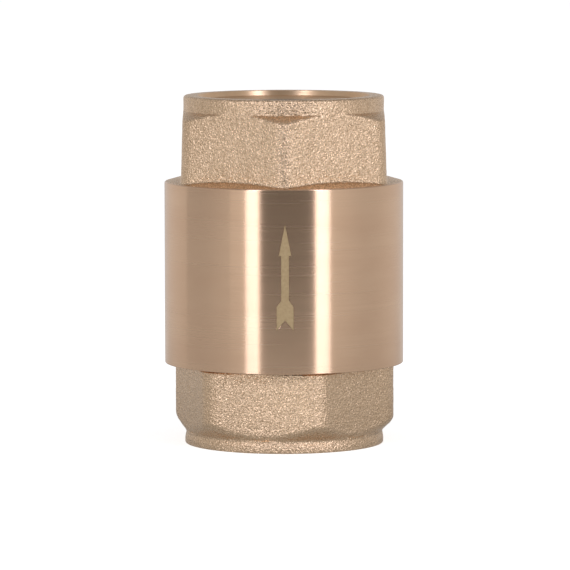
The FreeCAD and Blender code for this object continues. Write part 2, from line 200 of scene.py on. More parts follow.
def rounded(corners, steps=4):
    """Points along a section whose corners are (radius, height, rounding)."""
    points = []
    for k, (r, z, rounding) in enumerate(corners):
        here = np.array((r, z))
        if not rounding:
            points.append(here)
            continue
        before = np.array(corners[k - 1][:2]) - here
        after = np.array(corners[(k + 1) % len(corners)][:2]) - here
        before /= np.linalg.norm(before)
        after /= np.linalg.norm(after)
        half = math.acos(np.clip(before @ after, -1, 1)) / 2
        middle = before + after
        centre = here + middle / np.linalg.norm(middle) * rounding / math.sin(half)
        first = here + before * rounding / math.tan(half) - centre
        last = here + after * rounding / math.tan(half) - centre
        start = math.atan2(first[1], first[0])
        sweep = math.atan2(last[1], last[0]) - start
        sweep = (sweep + math.pi) % TURN - math.pi
        for step in range(steps + 1):
            angle = start + sweep * step / steps
            points.append(centre + rounding * np.array((math.cos(angle), math.sin(angle))))
    return points


def turned(corners, around=AROUND):
    """Rings through a turned section."""
    return np.array([ring(r, z, around) for r, z in rounded(corners)])


def shaped(heights, radius_at, around=AROUND):
    """Rings at heights, where radius_at(angles, height) gives each ring's radii."""
    turn = angles(around)
    return np.array([ring(radius_at(turn, height), height, around) for height in heights])


def spaced(start, end, step):
    """Evenly spaced heights from start to end, no further apart than a step."""
    return np.linspace(start, end, max(2, math.ceil(abs(end - start) / step) + 1))


def soft_min(a, b, blend):
    """The smaller of two sizes, rounded over where they meet."""
    share = np.clip(0.5 + 0.5 * (b - a) / blend, 0, 1)
    return b + (a - b) * share - blend * share * (1 - share)


def soft_max(a, b, blend):
    """The larger of two sizes, rounded over where they meet."""
    return -soft_min(-a, -b, blend)


def hexagon(turn, flats, corner, rounding):
    """A hexagonal bar's radius by angle, with one rounded corner at the angle given."""
    sixth = TURN / 6
    off = np.abs((turn - corner + sixth / 2) % sixth - sixth / 2)
    side = flats / 2 / np.cos(sixth / 2 - off)
    centre = (flats / 2 - rounding) / math.cos(sixth / 2)
    arc = centre * np.cos(off) + np.sqrt(np.maximum(rounding**2 - (centre * np.sin(off)) ** 2, 0))
    arc_end = sixth / 2 - math.atan2(centre * math.sin(sixth / 2), flats / 2)
    return np.where(off < arc_end, arc, side)


def groove(turn, height, pitch, half_widths):
    """How far into a right-hand thread's groove a place is: 0 on a crest, 1 at the root."""
    opening, bottom = half_widths
    off = np.abs((height / pitch - turn / TURN) % 1 - 0.5) * pitch
    depth = np.clip((opening - off) / (opening - bottom), 0, 1)
    return (depth + depth * depth * (3 - 2 * depth)) / 2


CAST_SWELLS = ((2.6, 0.03), (0.9, 0.02), (0.4, 0.024))  # size and height of each swell


def cast(rings, share=1.0):
    """Rings pushed in and out a little, like the skin of a blasted casting."""
    for row in rings:
        for point in row:
            place = Vector(point)
            swell = sum(depth * noise.noise(place / size) for size, depth in CAST_SWELLS)
            point[:2] *= 1 + share * swell / math.hypot(point[0], point[1])
    return rings


def loft(name, bands, joined=True):
    """A mesh through bands of rings, each band with the number of its finish.

    The last ring is joined to the first, or both ends are capped."""
    rings = np.concatenate([points for points, _ in bands])
    finish = np.concatenate([np.full(len(points), number) for points, number in bands])
    count, around = rings.shape[:2]
    low = np.arange(count if joined else count - 1)[:, None] * around
    high = (low + around) % (count * around)
    here = np.arange(around)
    after = (here + 1) % around
    faces = np.stack((low + here, low + after, high + after, high + here), axis=-1)
    face_finish = np.repeat(finish[: len(low)], around).tolist()
    faces = faces.reshape(-1, 4).tolist()
    if not joined:
        faces += [here[::-1].tolist(), (here + (count - 1) * around).tolist()]
        face_finish += [int(finish[0]), int(finish[-1])]
    mesh = bpy.data.meshes.new(name)
    mesh.from_pydata((rings.reshape(-1, 3) * MM).tolist(), [], faces)
    mesh.polygons.foreach_set("material_index", face_finish)
    mesh.update()
    return mesh


def smooth(mesh, sharp_degrees=38):
    """Smooth shading, with a crease wherever two faces turn by more than an angle."""
    mesh.polygons.foreach_set("use_smooth", [True] * len(mesh.polygons))
    mesh.set_sharp_from_angle(angle=math.radians(sharp_degrees))


def piece(name, mesh, body, finishes):
    """Shows a mesh in place of the CAD node of the same name."""
    smooth(mesh)
    obj = bpy.data.objects.new(f"{name}_look", mesh)
    bpy.context.scene.collection.objects.link(obj)
    for finish in finishes:
        mesh.materials.append(finish)
    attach(obj, body)
    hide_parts(name)
    return obj


# --- finishes ----------------------------------------------------------------------------


class Finish:
    """A procedural material that is built up from patterns."""

    def __init__(self, name, color, metallic, roughness):
        self.material = bpy.data.materials.new(name)
        self.material.use_nodes = True
        self.tree = self.material.node_tree
        self.shader = self.tree.nodes["Principled BSDF"]
        self.set("Base Color", (*color, 1))
        self.set("Metallic", metallic)
        self.set("Roughness", roughness)
        self.normal = None

    def set(self, socket, value):
        self.shader.inputs[socket].default_value = value

    def node(self, kind, **values):
        made = self.tree.nodes.new(f"ShaderNode{kind}")
        for socket, value in values.items():
            made.inputs[socket.replace("_", " ")].default_value = value
        return made

    def link(self, source, target):
        self.tree.links.new(source, target)

    def grain(self, size, detail=2.0):
        """Noise whose grains have a size in millimetres, along all axes or along X, Y and Z."""
        sizes = size if isinstance(size, tuple) else (size,) * 3
        where = self.node("TexCoord")
        stretch = self.node("Mapping", Scale=[1 / (MM * side) for side in sizes])
        pattern = self.node("TexNoise", Scale=1.0, Detail=detail)
        self.link(where.outputs["Object"], stretch.inputs["Vector"])
        self.link(stretch.outputs["Vector"], pattern.inputs["Vector"])
        return pattern.outputs["Fac"]

    def pits(self, size):
        """Cells of a size in millimetres, each highest in the middle."""
        where = self.node("TexCoord")
        pattern = self.node("TexVoronoi", Scale=1 / (MM * size))
        self.link(where.outputs["Object"], pattern.inputs["Vector"])
        return pattern.outputs["Distance"]

    def relief(self, pattern, depth):
        """Adds a pattern to the surface, with a depth in millimetres."""
        bump = self.node("Bump", Distance=depth * MM)
        self.link(pattern, bump.inputs["Height"])
        if self.normal:
            self.link(self.normal, bump.inputs["Normal"])
        self.normal = bump.outputs["Normal"]
        self.link(self.normal, self.shader.inputs["Normal"])

    def vary(self, socket, pattern, low, high, span=(0.3, 0.7)):
        """Lets a number follow a pattern between two values."""
        scaled = self.node("MapRange", From_Min=span[0], From_Max=span[1], To_Min=low, To_Max=high)
        self.link(pattern, scaled.inputs["Value"])
        self.link(scaled.outputs["Result"], self.shader.inputs[socket])

    def spun(self, share):
        """Draws reflections out along Z, as fine turning marks round the axis do."""
        around = self.node("Tangent")
        around.direction_type = "RADIAL"
        around.axis = "Z"
        self.link(around.outputs["Tangent"], self.shader.inputs["Tangent"])
        self.set("Anisotropic", share)
        self.set("Anisotropic Rotation", 0.25)  # a quarter turn, from round the axis to along it

    def tint(self, pattern, low, high, span=(0.3, 0.7)):
        """Lets the colour follow a pattern between two colours."""
        ramp = self.node("ValToRGB")
        for element, place, color in zip(ramp.color_ramp.elements, span, (low, high)):
            element.position = place
            element.color = (*color, 1)
        self.link(pattern, ramp.inputs["Fac"])
        self.link(ramp.outputs["Color"], self.shader.inputs["Base Color"])


def turned_brass():
    """The sleeve: bright turned brass whose fine rings draw lights out into tall bands."""
    finish = Finish("turned_brass", (0.82, 0.56, 0.38), 1.0, 0.25)
    finish.tint(finish.grain((9, 9, 3)), (0.80, 0.54, 0.365), (0.84, 0.58, 0.395))
    rings = finish.grain((30, 30, 0.13))
    finish.vary("Roughness", rings, 0.235, 0.275)
    finish.relief(rings, 0.0009)
    finish.relief(finish.grain((60, 60, 0.6), detail=1.0), 0.0018)
    finish.spun(1.0)
    return finish.material


def blasted_brass():
    """The hexagons: cast brass, shot-blasted to an even sparkling grain."""
    finish = Finish("blasted_brass", (0.80, 0.555, 0.365), 1.0, 0.28)
    finish.tint(finish.grain(0.19), (0.61, 0.415, 0.255), (0.99, 0.725, 0.495), span=(0.31, 0.64))
    finish.vary("Roughness", finish.grain(0.3), 0.21, 0.35)
    finish.relief(finish.grain(0.25), 0.13)
    finish.relief(finish.pits(0.22), 0.05)
    return finish.material


def machined_brass():
    """Bores, faces and threads as they leave the lathe."""
    finish = Finish("machined_brass", (0.80, 0.57, 0.37), 1.0, 0.38)
    finish.tint(finish.grain(3.0), (0.76, 0.53, 0.335), (0.84, 0.61, 0.41))
    rings = finish.grain((8, 8, 0.12))
    finish.vary("Roughness", rings, 0.33, 0.43)
    finish.relief(rings, 0.0015)
    finish.spun(0.8)
    return finish.material


def etched_brass():
    """The flow arrow's floor: etched matt, so that it isn't dark where the turned metal is."""
    finish = Finish("etched_brass", (0.44, 0.325, 0.18), 0.55, 0.62)
    finish.tint(finish.grain(0.4), (0.40, 0.287, 0.153), (0.47, 0.353, 0.198))
    finish.relief(finish.grain(0.12), 0.012)
    return finish.material


def trim_brass():
    """Free-cutting brass of the inner turned pieces, a little yellower."""
    finish = Finish("trim_brass", (0.82, 0.61, 0.33), 1.0, 0.26)
    finish.tint(finish.grain(2.0), (0.78, 0.57, 0.3), (0.86, 0.65, 0.37))
    rings = finish.grain((6, 6, 0.1))
    finish.vary("Roughness", rings, 0.2, 0.34)
    finish.relief(rings, 0.003)
    return finish.material


def nitrile():
    """Moulded black rubber with a faint bloom."""
    finish = Finish("nitrile", (0.022, 0.022, 0.024), 0.0, 0.55)
    finish.tint(finish.grain(1.2), (0.017, 0.017, 0.018), (0.034, 0.034, 0.037))
    finish.vary("Roughness", finish.grain(0.6), 0.46, 0.66)
    finish.relief(finish.grain(0.15), 0.006)
    return finish.material


def acetal():
    """Moulded ivory plastic of the stem guides."""
    finish = Finish("acetal", (0.84, 0.82, 0.76), 0.0, 0.4)
    finish.tint(finish.grain(5.0), (0.81, 0.79, 0.725), (0.87, 0.855, 0.8))
    finish.vary("Roughness", finish.grain(0.8), 0.34, 0.48)
    finish.relief(finish.grain(0.3), 0.005)
    finish.set("Subsurface Weight", 0.12)
    finish.set("Subsurface Radius", (1.2 * MM, 1.0 * MM, 0.8 * MM))
    return finish.material


def stainless():
    """Turned stainless steel of the stem and its nut."""
    finish = Finish("stainless", (0.62, 0.61, 0.6), 1.0, 0.24)
    rings = finish.grain((5, 5, 0.09))
    finish.tint(finish.grain(2.0), (0.585, 0.575, 0.565), (0.655, 0.65, 0.64))
    finish.vary("Roughness", rings, 0.18, 0.32)
    finish.relief(rings, 0.003)
    return finish.material


def spring_steel():
    """Drawn wire and stamped strip, bright with a slight grey skin."""
    finish = Finish("spring_steel", (0.56, 0.56, 0.57), 1.0, 0.28)
    finish.tint(finish.grain(1.5), (0.5, 0.5, 0.51), (0.62, 0.62, 0.63))
    finish.vary("Roughness", finish.grain(0.4), 0.2, 0.36)
    finish.relief(finish.grain((0.08, 0.08, 0.5)), 0.003)
    return finish.material


TURNED, BLASTED, MACHINED, ETCHED = range(4)
brass = [turned_brass(), blasted_brass(), machined_brass(), etched_brass()]
trim = trim_brass()
rubber = nitrile()
plastic = acetal()
steel = stainless()
wire_steel = spring_steel()


# --- outlet body -------------------------------------------------------------------------

FRONT = -TURN / 4  # the angle that faces -Y
ARROW_OFFSET = 0.15
ARROW_DEPTH = 0.07
ARROW_HALF = (  # half the arrow: distance from its middle, and depth below the sleeve's top edge
    (0, 4.75),
    (0.89, 9.22),
    (0.55, 9.22),
    (0.55, 15.43),
    (1.19, 16.3),
    (1.19, 19.65),
    (0, 18.15),
)
PATCH_HALF = math.radians(9)  # the stretch of sleeve that carries the arrow
PATCH_STEP = 0.6
WHOLE_PATCH = 0  # the triangulation's output: triangles over all of the patch
NEAR = 1e-6  # a difference that counts as none, in any unit
UPRIGHT = 1e-3  # the most that the wall's normals may rise


def pipe_bore(turn, inward, height):
    """An end's bore: G 1/2 thread and relief below the mouth; inward is the depth below the rim."""
    depths = (PIPE_MOUTH_DEPTH, PIPE_THREAD_DEPTH - PIPE_RUN_OUT, PIPE_THREAD_DEPTH)
    plain = np.interp(inward, depths, (PIPE_CREST, PIPE_CREST, PIPE_RELIEF))
    cut = groove(turn, height, PIPE_PITCH, PIPE_GROOVE)
    return np.maximum(plain, PIPE_CREST + (PIPE_ROOT - PIPE_CREST) * cut)


def outlet_hexagon(turn, height):
    """The upper hexagon, which its draft widens downwards."""
    flats = OUTLET_FLATS + 2 * (OUTLET_HEXAGON_TOP - height) * math.tan(OUTLET_DRAFT)
    return hexagon(turn, flats, OUTLET_TURN, OUTLET_ROUND)


def outlet_outside(turn, height):
    """The upper hexagon with its chamfered corners, and the round collar above it."""
    side = outlet_hexagon(turn, min(height, OUTLET_HEXAGON_TOP))
    below = max(0, (OUTLET_HEXAGON_TOP - height) / math.tan(OUTLET_CHAMFER))
    blend = OUTLET_BLEND + OUTLET_CORNER_BLEND * min(1, below)
    return soft_min(side, OUTLET_COLLAR + below, blend)


def shoulder():
    """The cast shoulder from the sleeve's edge to the fillet at the hexagon's foot."""
    outer = SLEEVE_RADIUS - EDGE
    slope = SHOULDER_RISE / (outer - SHOULDER_INNER)
    side = outlet_hexagon(angles(AROUND), SLEEVE_TOP + SHOULDER_RISE)
    foot = side + SHOULDER_FILLET
    rows = []
    for share in np.linspace(0, 1, SHOULDER_RINGS):
        radius = outer + (foot - outer) * share
        rows.append(ring(radius, SLEEVE_TOP + (outer - radius) * slope))
    foot_height = SLEEVE_TOP + (outer - foot) * slope
    for angle in np.linspace(0, TURN / 4, FILLET_RINGS)[1:]:
        rise = SHOULDER_FILLET * (1 - math.cos(angle))
        rows.append(ring(foot - SHOULDER_FILLET * math.sin(angle), foot_height + rise))
    return np.array(rows)


def joint_bore(turn, height):
    """The sleeve's M28 thread, above the plain stretch that holds the seal ring."""
    heights = (JOINT_FEMALE_LOW, JOINT_FEMALE_LOW + JOINT_FEMALE_LEAD)
    plain = np.interp(height, heights, (JOINT_MAJOR, JOINT_FEMALE_MINOR))
    cut = groove(turn, height, JOINT_PITCH, JOINT_FEMALE_GROOVE)
    return np.maximum(plain, JOINT_FEMALE_MINOR + (JOINT_MAJOR - JOINT_FEMALE_MINOR) * cut)


def arrow_outline():
    """The arrow's corners, anticlockwise: distance round the sleeve from its front, and height."""
    half = [(x, SLEEVE_TOP - down) for x, down in ARROW_HALF]
    other = [(-x, z) for x, z in half[1:-1]]
    return [Vector((ARROW_OFFSET + x, z)) for x, z in half[:1] + other + half[:0:-1]]


def engrave(mesh):
    """Cuts the flow arrow into the front of the sleeve's wall."""
    low, high = SLEEVE_LOW + LOW_EDGE, SLEEVE_TOP - EDGE
    steps = round(2 * PATCH_HALF * AROUND / TURN)
    columns = [SLEEVE_RADIUS * angle for angle in np.linspace(-PATCH_HALF, PATCH_HALF, steps + 1)]
    outline = arrow_outline()
    points = outline + [Vector((x, z)) for x in columns for z in (low, high)]
    inner_heights = spaced(low, high, PATCH_STEP)[1:-1]
    points += [Vector((x, z)) for x in columns[1:-1] for z in inner_heights]
    count = len(outline)
    edges = [(k, (k + 1) % count) for k in range(count)]
    arrow = [list(range(count))]
    flat, _, faces, _, _, inside = delaunay_2d_cdt(points, edges, arrow, WHOLE_PATCH, NEAR)

    def on_sleeve(point, depth):
        angle = FRONT + point.x / SLEEVE_RADIUS
        radius = (SLEEVE_RADIUS - depth) * MM
        return radius * math.cos(angle), radius * math.sin(angle), point.y * MM

    bm = bmesh.new()
    bm.from_mesh(mesh)
    patch_x = SLEEVE_RADIUS * math.sin(PATCH_HALF) * MM
    edge_face = (EDGE * MM) ** 2 * 10  # more than any face of the sleeve's rounded edges
    wall = [
        face
        for face in bm.faces
        if face.material_index == TURNED
        and abs(face.calc_center_median().x) < patch_x
        and face.calc_center_median().y < 0
        and face.calc_area() > edge_face
    ]
    bmesh.ops.delete(bm, geom=wall, context="FACES_ONLY")
    surface = [bm.verts.new(on_sleeve(point, 0)) for point in flat]
    sunk = {}
    sides = {}
    for corners, source in zip(faces, inside):
        if not source:
            bm.faces.new([surface[k] for k in corners]).material_index = TURNED
            continue
        for k in corners:
            if k not in sunk:
                sunk[k] = bm.verts.new(on_sleeve(flat[k], ARROW_DEPTH))
        bm.faces.new([sunk[k] for k in corners]).material_index = ETCHED
        for here, after in zip(corners, corners[1:] + corners[:1]):
            if (after, here) in sides:
                del sides[(after, here)]
            else:
                sides[(here, after)] = True
    for here, after in sides:
        wall_face = bm.faces.new((surface[here], surface[after], sunk[after], sunk[here]))
        wall_face.material_index = ETCHED
    bmesh.ops.remove_doubles(bm, verts=bm.verts, dist=NEAR)
    loose = [vert for vert in bm.verts if not vert.link_faces]
    bmesh.ops.delete(bm, geom=loose, context="VERTS")
    bm.to_mesh(mesh)
    bm.free()


def true_sleeve_normals(mesh):
    """Gives the sleeve's wall a cylinder's exact normals, so that reflections run straight."""
    normals = [(0.0, 0.0, 0.0)] * len(mesh.loops)
    for face in mesh.polygons:
        if face.material_index != TURNED or abs(face.normal.z) > UPRIGHT:
            continue
        for loop in face.loop_indices:
            place = mesh.vertices[mesh.loops[loop].vertex_index].co
            normals[loop] = Vector((place.x, place.y, 0)).normalized()
    mesh.normals_split_custom_set(normals)


def outlet_body():
    """Sleeve, shoulder, upper hexagon and collar in one piece, threaded at both ends."""
    top = OUTLET_TOP
    sleeve = turned(
        [
            (JOINT_MAJOR + JOINT_EDGE, SLEEVE_LOW, 0),
            (SLEEVE_RADIUS, SLEEVE_LOW, LOW_EDGE),
            (SLEEVE_RADIUS, SLEEVE_TOP, EDGE),
            (SHOULDER_INNER, SLEEVE_TOP, 0),
        ]
    )[:-1]
    foot = SLEEVE_TOP + SHOULDER_RISE + SHOULDER_FILLET
    upright = spaced(foot, OUTLET_SLOPE_LOW, SKIN_STEP)
    slope = spaced(OUTLET_SLOPE_LOW, OUTLET_SLOPE_HIGH, SLOPE_STEP)[1:]
    rim = turned(
        [
            (OUTLET_COLLAR, OUTLET_SLOPE_HIGH, 0),
            (OUTLET_COLLAR, top, OUTLET_COLLAR_EDGE),
            (PIPE_MOUTH, top, 0),
        ]
    )[1:-1]
    mouth = turned(
        [
            (OUTLET_COLLAR, top, 0),
            (PIPE_MOUTH, top, MOUTH_ROUND),
            (PIPE_MOUTH_FLOOR, top - PIPE_MOUTH_WALL, FLOOR_ROUND),
            (PIPE_CREST, top - PIPE_MOUTH_DEPTH, 0),
        ]
    )[1:]
    bore_heights = spaced(top - PIPE_BORE_START, top - PIPE_BORE_END, THREAD_STEP)
    bore = shaped(bore_heights, lambda turn, z: pipe_bore(turn, top - z, z))
    passage = turned(
        [
            (PIPE_RELIEF, top - PIPE_BORE_END, 0),
            (PIPE_RELIEF, top - PIPE_STOP_DEPTH, STOP_ROUND),
            (WEB_RADIUS, top - PIPE_STOP_DEPTH, STOP_ROUND),
            (WEB_RADIUS, GUIDE_STOP, BORE_ROUND),
            (GUIDE_RECESS, GUIDE_STOP, BORE_ROUND),
            (GUIDE_RECESS, GUIDE_RECESS_LOW, BORE_ROUND),
            (CHAMBER_RADIUS, GUIDE_RECESS_LOW, BORE_ROUND),
            (CHAMBER_RADIUS, CHAMBER_LOW, BORE_ROUND),
            (JOINT_FEMALE_MINOR, CHAMBER_LOW, 0),
        ]
    )[:-1]
    joint_heights = spaced(JOINT_FEMALE_TOP, SLEEVE_LOW + JOINT_EDGE, THREAD_STEP)
    bands = [
        (sleeve, TURNED),
        (cast(shoulder(), SHOULDER_SKIN), BLASTED),
        (cast(shaped(upright, outlet_outside)), BLASTED),
        (cast(shaped(slope, outlet_outside)), BLASTED),
        (rim, BLASTED),
        (mouth, MACHINED),
        (bore, MACHINED),
        (passage, MACHINED),
        (shaped(joint_heights, joint_bore), MACHINED),
    ]
    mesh = loft("outlet_body", bands)
    engrave(mesh)
    piece("outlet_body", mesh, HOUSING, brass)
    true_sleeve_normals(mesh)


# --- inlet adapter -----------------------------------------------------------------------


def inlet_outside(turn, height):
    """The collar, the soft neck above it, and the lower hexagon that swells out of the neck."""
    share = np.clip((height - INLET_COLLAR_TOP) / (INLET_HEXAGON_LOW - INLET_COLLAR_TOP), 0, 1)
    neck = INLET_COLLAR - (INLET_COLLAR - INLET_NECK) * share * share * (3 - 2 * share)
    cone = INLET_NECK + (height - INLET_HEXAGON_LOW) / math.tan(INLET_CHAMFER)
    swell = soft_max(neck, cone, INLET_NECK_BLEND)
    if height < INLET_HEXAGON_LOW:
        return np.full(len(turn), swell)
    side = hexagon(turn, INLET_FLATS, INLET_TURN, INLET_ROUND)
    return soft_min(side, swell, INLET_CORNER_BLEND)


def joint_screw(turn, height):
    """The adapter's M28 thread, with its lead-in chamfer at the top."""
    crest = JOINT_MAJOR - JOINT_GAP
    lead = JOINT_MALE_END - JOINT_MALE_LEAD
    heights = (JOINT_MALE_LOW, JOINT_MALE_FULL, lead, JOINT_MALE_END)
    plain = np.interp(height, heights, (crest - JOINT_MALE_START, crest, crest, NOSE_RADIUS))
    shift = height + JOINT_PITCH / 2
    cut = groove(turn, shift, JOINT_PITCH, JOINT_MALE_GROOVE)
    return np.minimum(plain, crest - (crest - JOINT_MALE_MINOR) * cut)


def inlet_adapter():
    """Lower hexagon and collar, the screwed-in nose with its raised seat, and the inlet thread."""
    mouth = turned(
        [
            (PIPE_CREST, PIPE_MOUTH_DEPTH, 0),
            (PIPE_MOUTH_FLOOR, PIPE_MOUTH_WALL, FLOOR_ROUND),
            (PIPE_MOUTH, 0, MOUTH_ROUND),
            (INLET_COLLAR - INLET_FACE_INSET, 0, 0),
        ]
    )
    foot = turned(
        [
            (PIPE_MOUTH, 0, 0),
            (INLET_COLLAR, 0, INLET_COLLAR_EDGE),
            (INLET_COLLAR, INLET_COLLAR_TOP, 0),
        ]
    )[1:-1]
    slope = spaced(INLET_SKIN_LOW, INLET_SLOPE_HIGH, SLOPE_STEP)
    upright = spaced(INLET_SLOPE_HIGH, INLET_SKIN_HIGH, SKIN_STEP)[1:]
    skin = shaped(np.concatenate((slope, upright)), inlet_outside)
    side = inlet_outside(angles(AROUND), SLEEVE_LOW)
    undercut = [ring(side - inward, SLEEVE_LOW - down) for inward, down in INLET_UNDERCUT]
    seal_groove = turned(
        [
            (JOINT_MAJOR, SLEEVE_LOW, 0),
            (SEAL_ROOT, SLEEVE_LOW, SEAL_ROUND),
            (SEAL_ROOT, JOINT_MALE_LOW, SEAL_ROUND),
            (SEAL_RIM, JOINT_MALE_LOW, 0),
        ]
    )[1:]
    nose = turned(
        [
            (NOSE_RADIUS, NOSE_LOW, 0),
            (NOSE_RADIUS, NOSE_TOP, STOP_ROUND),
            (SEAT_FOOT, NOSE_TOP, BORE_ROUND),
            (SEAT_OUTER, SEAT_TOP, STOP_ROUND),
            (THROAT_RADIUS, SEAT_TOP, STOP_ROUND),
            (THROAT_RADIUS, LOWER_RECESS_TOP, FLOOR_ROUND),
            (LOWER_RECESS, LOWER_RECESS_TOP, FLOOR_ROUND),
            (LOWER_RECESS, RING_GROOVE_HIGH, GROOVE_ROUND),
            (RING_GROOVE, RING_GROOVE_HIGH, GROOVE_ROUND),
            (RING_GROOVE, RING_GROOVE_LOW, GROOVE_ROUND),
            (LOWER_RECESS, RING_GROOVE_LOW, GROOVE_ROUND),
            (LOWER_RECESS, PIPE_STOP_DEPTH, BORE_ROUND),
            (PIPE_RELIEF, PIPE_STOP_DEPTH, STOP_ROUND),
            (PIPE_RELIEF, PIPE_BORE_END, 0),
        ]
    )[:-1]
    bore_heights = spaced(PIPE_BORE_END, PIPE_BORE_START, THREAD_STEP)
    bands = [
        (mouth, MACHINED),
        (foot, BLASTED),
        (cast(skin), BLASTED),
        (np.array(undercut), BLASTED),
        (seal_groove, MACHINED),
        (shaped(spaced(JOINT_MALE_LOW, JOINT_MALE_TOP, THREAD_STEP), joint_screw), MACHINED),
        (nose, MACHINED),
        (shaped(bore_heights, lambda turn, z: pipe_bore(turn, z, z)), MACHINED),
    ]
    mesh = loft("inlet_adapter", bands)
    piece("inlet_adapter", mesh, HOUSING, brass[:3])


# --- seals, guides and snap ring ---------------------------------------------------------

SEAL_CORNER = 0.42  # rounding of the squeezed ring's section, as a share of its thickness

SPIDER_AROUND = 180
SPOKE_PITCH = 120  # degrees from spoke to spoke
WINDOW = (12, 108)  # where a window starts and ends, in degrees after the middle of a spoke
WINDOW_RING = 2  # the windows' place between a guide's radii
MOULDED_EDGE = 0.22
MOULDED_STEPS = 3
MOULDED_ANGLE = math.radians(50)  # edges that turn by more are rounded
UPPER_GUIDE = (2.55, 4.0, 6.5, 10.2)  # radii of bore, hub, flange and windows
LOWER_GUIDE = (1.75, 2.9, 3.3, 7.4)
GUIDE_PLATE = 1.6
GUIDE_PLAY = 0.1  # between the snap ring and the lower guide

SNAP_RING_WIDTH = 1.35
SNAP_RING_EDGE = 0.12
SNAP_RING_SWEEP = TURN * 325 / 360
SNAP_RING_STEPS = 164


def turned_piece(name, corners, body, finish):
    """An inner piece made by turning one section."""
    mesh = loft(name, [(turned(corners, AROUND_SMALL), 0)])
    piece(name, mesh, body, [finish])


def body_seal_ring():
    """The O-ring, slightly flattened where the sleeve and the groove squeeze it."""
    low, high, outer = reach("body_seal_ring")
    thick = high - low
    inner = outer - thick
    rounding = thick * SEAL_CORNER
    places = ((inner, low), (outer, low), (outer, high), (inner, high))
    corners = [(*place, rounding) for place in places]
    turned_piece("body_seal_ring", corners, HOUSING, rubber)


def spider(name, radii, plate, hub):
    """A moulded spider guide: hub, flange, three spokes and rim.

    radii are the bore, hub, flange, windows and rim; plate and hub are (low, high) heights."""
    around = SPIDER_AROUND
    turn = angles(around)
    start, end = WINDOW
    in_window = [start <= degrees % SPOKE_PITCH < end for degrees in np.degrees(turn) + NEAR]
    bm = bmesh.new()
    corners = {}

    def corner(i, j, z):
        j %= around
        key = (i, j, z)
        if key not in corners:
            angle = turn[j]
            place = (radii[i] * math.cos(angle), radii[i] * math.sin(angle), z)
            corners[key] = bm.verts.new(Vector(place) * MM)
        return corners[key]

    def stack(i, j):
        """The heights that are filled in one cell of the plan."""
        if not 0 <= i < len(radii) - 1 or (i == WINDOW_RING and in_window[j % around]):
            return []
        return [hub[0], *plate, hub[1]] if i == 0 else list(plate)

    def wall(filled, beyond, first, second):
        """Walls over each layer that is filled here and open beyond."""
        for low, high in zip(filled, filled[1:]):
            if low in beyond and high in beyond:
                continue
            places = ((*first, low), (*second, low), (*second, high), (*first, high))
            bm.faces.new([corner(*place) for place in places])

    for i in range(len(radii) - 1):
        for j in range(around):
            filled = stack(i, j)
            if not filled:
                continue
            for z, order in ((filled[0], -1), (filled[-1], 1)):
                places = ((i, j), (i + 1, j), (i + 1, j + 1), (i, j + 1))
                bm.faces.new([corner(*place, z) for place in places][::order])
            wall(filled, stack(i - 1, j), (i, j + 1), (i, j))
            wall(filled, stack(i + 1, j), (i + 1, j), (i + 1, j + 1))
            wall(filled, stack(i, j - 1), (i, j), (i + 1, j))
            wall(filled, stack(i, j + 1), (i + 1, j + 1), (i, j + 1))
    mesh = bpy.data.meshes.new(name)
    bm.to_mesh(mesh)
    bm.free()
    made = piece(name, mesh, HOUSING, [plastic])
    bevel = made.modifiers.new("moulded_edges", "BEVEL")
    bevel.width = MOULDED_EDGE * MM
    bevel.segments = MOULDED_STEPS
    bevel.limit_method = "ANGLE"
    bevel.angle_limit = MOULDED_ANGLE
    weighted = made.modifiers.new("flat_faces", "WEIGHTED_NORMAL")
    weighted.keep_sharp = False


def upper_stem_guide():
    """The guide that the spring stands against, its plate's underside at the spring's top."""
    low, high, outer = reach("upper_stem_guide")
    under = reach("closing_spring")[1]
    spider("upper_stem_guide", (*UPPER_GUIDE, outer), (under, under + GUIDE_PLATE), (low, high))


def lower_stem_guide():
    """The tail's guide, its plate just above the snap ring."""
    low, high, outer = reach("lower_stem_guide")
    under = reach("guide_snap_ring")[1] + GUIDE_PLAY
    spider("lower_stem_guide", (*LOWER_GUIDE, outer), (under, under + GUIDE_PLATE), (low, high))


def guide_snap_ring():
    """A flat spring-steel ring, open at one side."""
    low, high, outer = reach("guide_snap_ring")
    inner = outer - SNAP_RING_WIDTH
    places = ((inner, low), (outer, low), (outer, high), (inner, high))
    radius, height = np.array(rounded([(*place, SNAP_RING_EDGE) for place in places])).T
    rows = []
    for angle in np.linspace(0, SNAP_RING_SWEEP, SNAP_RING_STEPS):
        rows.append(np.column_stack((radius * math.cos(angle), radius * math.sin(angle), height)))
    mesh = loft("guide_snap_ring", [(np.array(rows)[:, ::-1], 0)], joined=False)
    piece("guide_snap_ring", mesh, HOUSING, [wire_steel])


# --- closure -----------------------------------------------------------------------------

CLAMP_BORE = 2.04  # bore of disc and retainer, round the stem's thread
DISC_RECESS = 9.65
DISC_LIP = 1.0
DISC_THICKNESS = 1.4
DISC_SPIGOT = 5.0
DISC_SPIGOT_RISE = 0.7
DISC_BOSS = 3.6
DISC_BOSS_RISE = 1.2  # above the plate, where the boss has narrowed to its own radius
GASKET_BORE = 2.6

TAIL_TIP = 1.3
TAIL_RADIUS = 1.7
STEM_CHAMFER = 0.4
STEM_NECK = 1.9

# the M4 thread of stem and nut
STEM_MAJOR = 2.0
STEM_PITCH = 0.7
STEM_GROOVE = (0.31, 0.06)
STEM_DEPTH = 0.38
STEM_THREAD_GAP = 0.03  # between the thread's end rings and the shoulders beside them
STEM_STEP = 0.05  # height from ring to ring
NUT_DEPTH = 0.3

NUT_FLATS = 7.0
NUT_ROUND = 0.15
NUT_FACE_INSET = 0.1  # from the flats in to the edge of the round face
NUT_CHAMFER = math.radians(30)
NUT_BLEND = 0.06
NUT_STEP = 0.06

